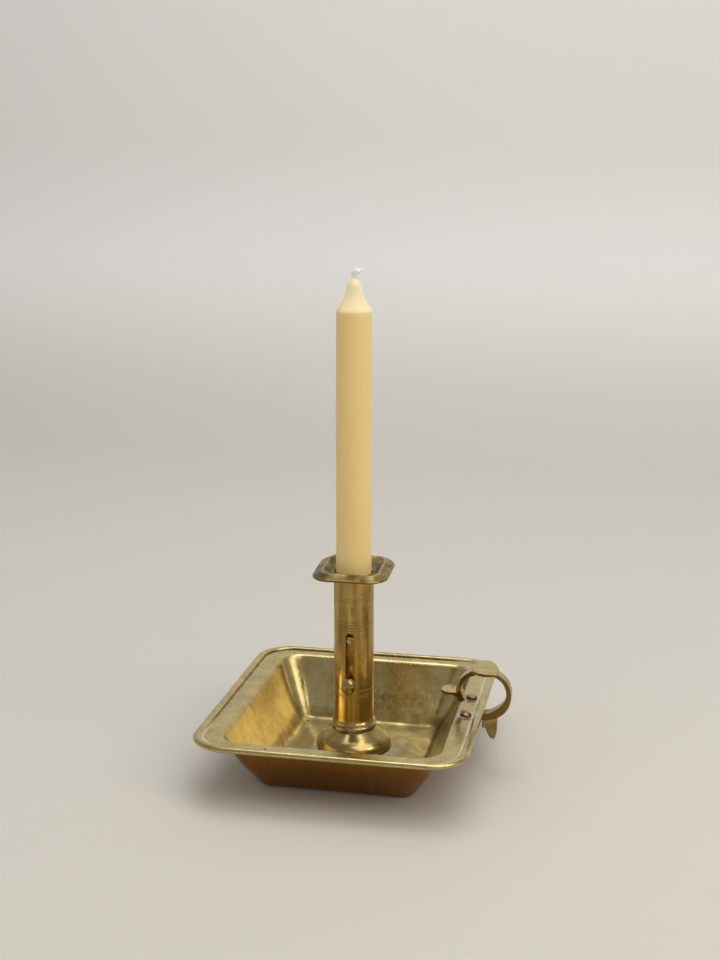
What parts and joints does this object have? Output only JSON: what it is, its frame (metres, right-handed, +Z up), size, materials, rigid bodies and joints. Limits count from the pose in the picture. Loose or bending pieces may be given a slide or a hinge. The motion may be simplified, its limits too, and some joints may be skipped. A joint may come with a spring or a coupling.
{
  "type": "chamber candlestick",
  "caption": "Brass chamber candlestick: rectangular tray with a wired rim and riveted ring handle, and a slotted column whose sliding knob pushes the candle up past a drip pan.",
  "frame": {"origin": "middle of the footprint of the whole object, handle included, on the table it stands on", "axes": "+Z up along the column, +X towards the ring handle, -Y towards the ejector's slot and knob"},
  "size_m": [0.1804, 0.185, 0.3068],
  "materials": {
    "sheet_brass": "worn polish with tarnish in the corners",
    "tube_brass": "turned and polished",
    "cast_brass": "cast, filed and worn",
    "copper": "hammered copper, darkened",
    "iron_wire": "drawn wire",
    "wax": "smooth satin",
    "cotton": "braided"
  },
  "bodies": {
    "base": {"tray": "sheet_brass", "rim_wire": "iron_wire", "handle": "cast_brass", "handle_rivet_front": "copper", "handle_rivet_back": "copper", "column_foot": "cast_brass", "fixing_washer": "sheet_brass", "fixing_nut": "cast_brass", "column_tube": "tube_brass", "drip_pan": "sheet_brass"},
    "ejector": {"ejector_sleeve": "tube_brass", "ejector_disc": "tube_brass", "knob_boss": "tube_brass", "ejector_knob": "cast_brass"},
    "candle": {"candle": "wax", "wick": "cotton"}
  },
  "joints": [
    {"name": "ejector_slide", "type": "slide", "parent": "base", "child": "ejector", "axis": [0, 0, 1], "range_m": [0, 0.03]},
    {"name": "candle_lift", "type": "slide", "parent": "ejector", "child": "candle", "axis": [0, 0, 1], "range_m": [0, 0.045]}
  ]
}
